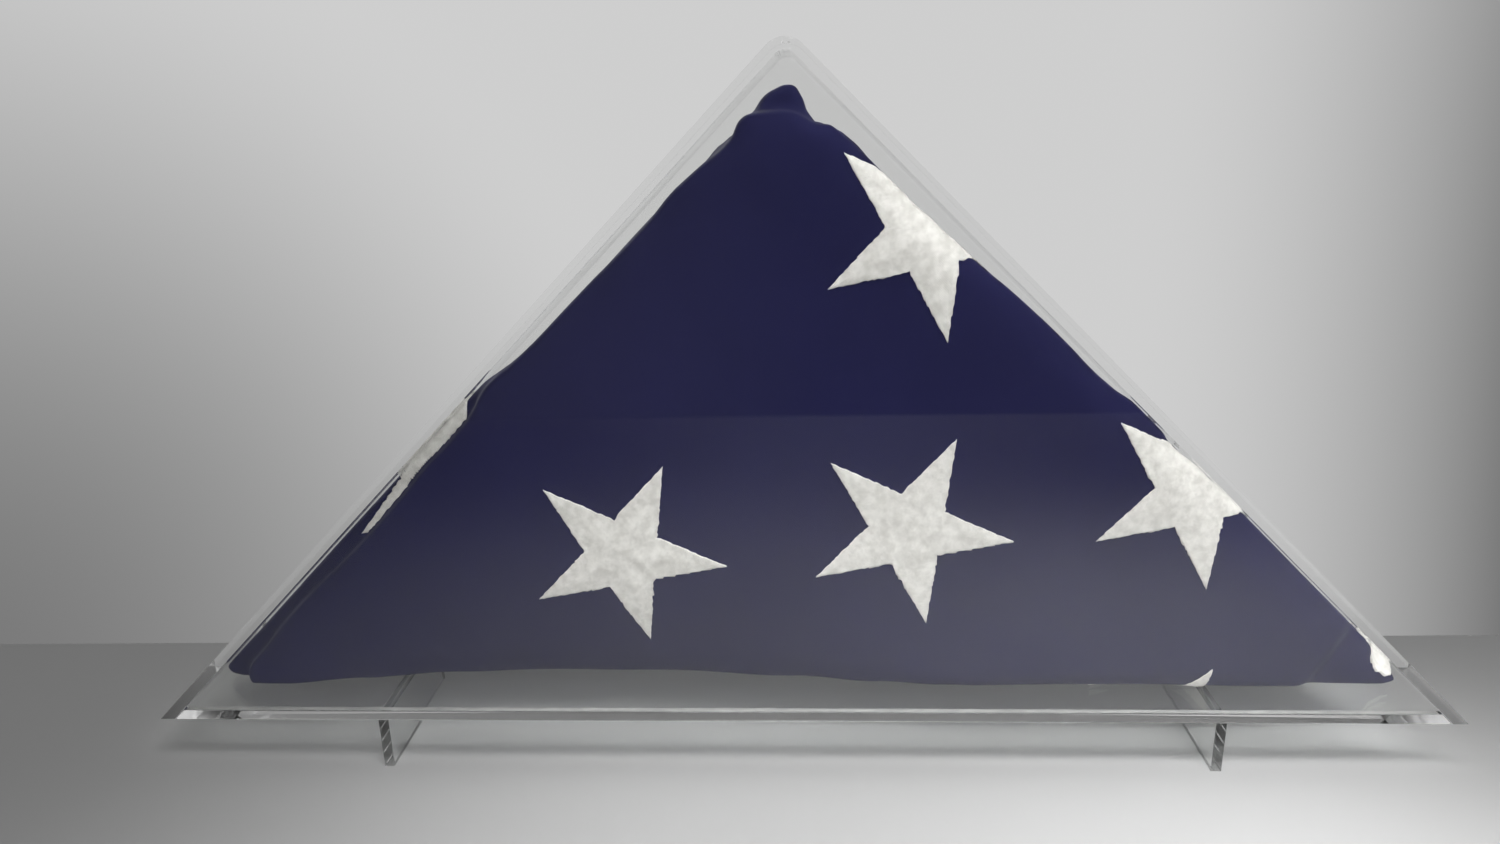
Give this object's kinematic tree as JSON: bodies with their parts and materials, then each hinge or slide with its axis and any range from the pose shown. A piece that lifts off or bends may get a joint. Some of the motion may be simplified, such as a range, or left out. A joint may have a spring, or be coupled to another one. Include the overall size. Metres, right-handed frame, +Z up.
{
  "type": "folded flag display case",
  "caption": "Clear acrylic triangular case on low feet, holding a cloth flag folded into a triangle with embroidered stars; its back panel lifts off to the rear.",
  "frame": {"origin": "on the table under the middle of the case, half way between its front and rear edges", "axes": "+X along the long side, to the right seen from the front; +Y from the front panel to the removable back; +Z up"},
  "size_m": [0.6, 0.0856, 0.3213],
  "materials": {
    "clear_acrylic": "clear, polished",
    "screw_steel": "satin",
    "flag_cloth": "plain-woven navy cotton",
    "star_thread": "off-white embroidery thread"
  },
  "bodies": {
    "case": {"side_strip": "clear_acrylic", "base_plate": "clear_acrylic", "front_panel": "clear_acrylic", "foot_left": "clear_acrylic", "foot_right": "clear_acrylic", "cleat_lower_left": "clear_acrylic", "cleat_lower_right": "clear_acrylic", "cleat_upper_left": "clear_acrylic", "cleat_upper_right": "clear_acrylic", "folded_flag": "flag_cloth", "star_left": "star_thread", "star_centre": "star_thread", "star_right": "star_thread", "star_upper": "star_thread"},
    "removable_back": {"back_panel": "clear_acrylic", "screw_lower_left": "screw_steel", "screw_lower_right": "screw_steel", "screw_upper_left": "screw_steel", "screw_upper_right": "screw_steel"}
  },
  "joints": [
    {"name": "back_pull", "type": "slide", "parent": "case", "child": "removable_back", "axis": [0, 1, 0], "range_m": [0, 0.12]}
  ]
}
